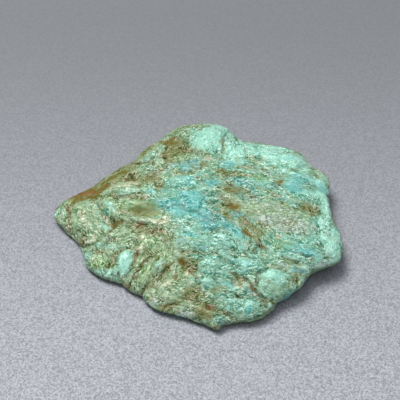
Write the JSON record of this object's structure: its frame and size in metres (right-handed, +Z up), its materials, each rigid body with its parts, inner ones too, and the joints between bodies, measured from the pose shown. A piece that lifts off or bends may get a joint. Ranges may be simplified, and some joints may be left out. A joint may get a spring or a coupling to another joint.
{
  "type": "rough turquoise slab",
  "caption": "Flat, irregular slab of rough turquoise with rounded lobes, creases and cracks, lying on a small flat spot.",
  "frame": {"origin": "on the resting plane, under the middle of the stone's outline", "axes": "+X along the longest extent of the slab, +Z up through its thickness, +Y towards the far edge of the picture's view"},
  "size_m": [0.064, 0.0554, 0.0104],
  "materials": {
    "turquoise": "Waxy, rough-broken turquoise: blue-green to pale mint with olive and ochre patches, red-brown cracks and small glints."
  },
  "bodies": {
    "root": {"turquoise": "turquoise"}
  },
  "joints": []
}
